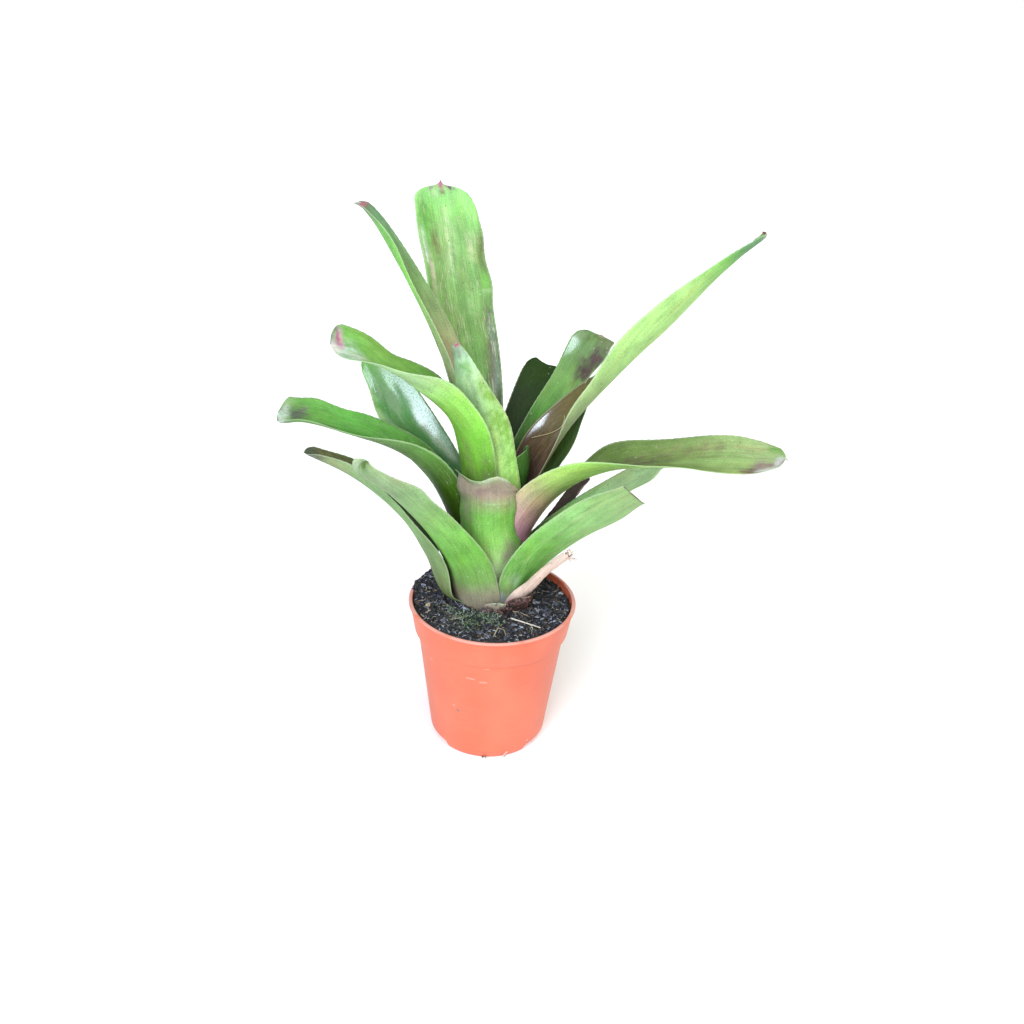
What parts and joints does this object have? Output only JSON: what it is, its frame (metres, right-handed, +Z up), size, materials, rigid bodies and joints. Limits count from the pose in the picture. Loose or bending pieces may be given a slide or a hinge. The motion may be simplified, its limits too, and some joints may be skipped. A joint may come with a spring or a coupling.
{
  "type": "neoregelia bromeliad in a pot",
  "caption": "Neoregelia bromeliad: a rosette of arching, channelled strap leaves rising from one short stem in a round plastic nursery pot filled with peat.",
  "frame": {"origin": "centre of the pot's underside, on the surface it stands on", "axes": "+Z up along the pot's axis; +X to the right and -Y to the front as the plant is seen from its best side"},
  "size_m": [0.3345, 0.1678, 0.3823],
  "materials": {
    "plastic": "moulded terracotta-coloured plastic, satin, lightly scuffed",
    "soil": "dark damp peat crumbs with fine roots",
    "stem": "woody stem with dried leaf bases",
    "leaf": "smooth green leaf with a waxy gloss, lengthwise veins, bronze flush and pale scurf",
    "withered": "dry brown leaf, dull"
  },
  "bodies": {
    "root": {"pot": "plastic", "soil": "soil", "stem": "stem", "leaf_tall_back": "leaf", "leaf_tall_left": "leaf", "leaf_inner_front": "leaf", "leaf_upper_left": "leaf", "leaf_back_left": "leaf", "leaf_low_left": "leaf", "leaf_lowest_left": "leaf", "leaf_front_left": "leaf", "leaf_front": "leaf", "leaf_long_right": "leaf", "leaf_back_right": "leaf", "leaf_back": "leaf", "leaf_long_low_right": "leaf", "leaf_low_right": "leaf", "leaf_front_right": "leaf", "leaf_short_right": "leaf", "leaf_heart": "leaf", "leaf_withered_back": "withered", "withered_stub": "withered"}
  },
  "joints": []
}
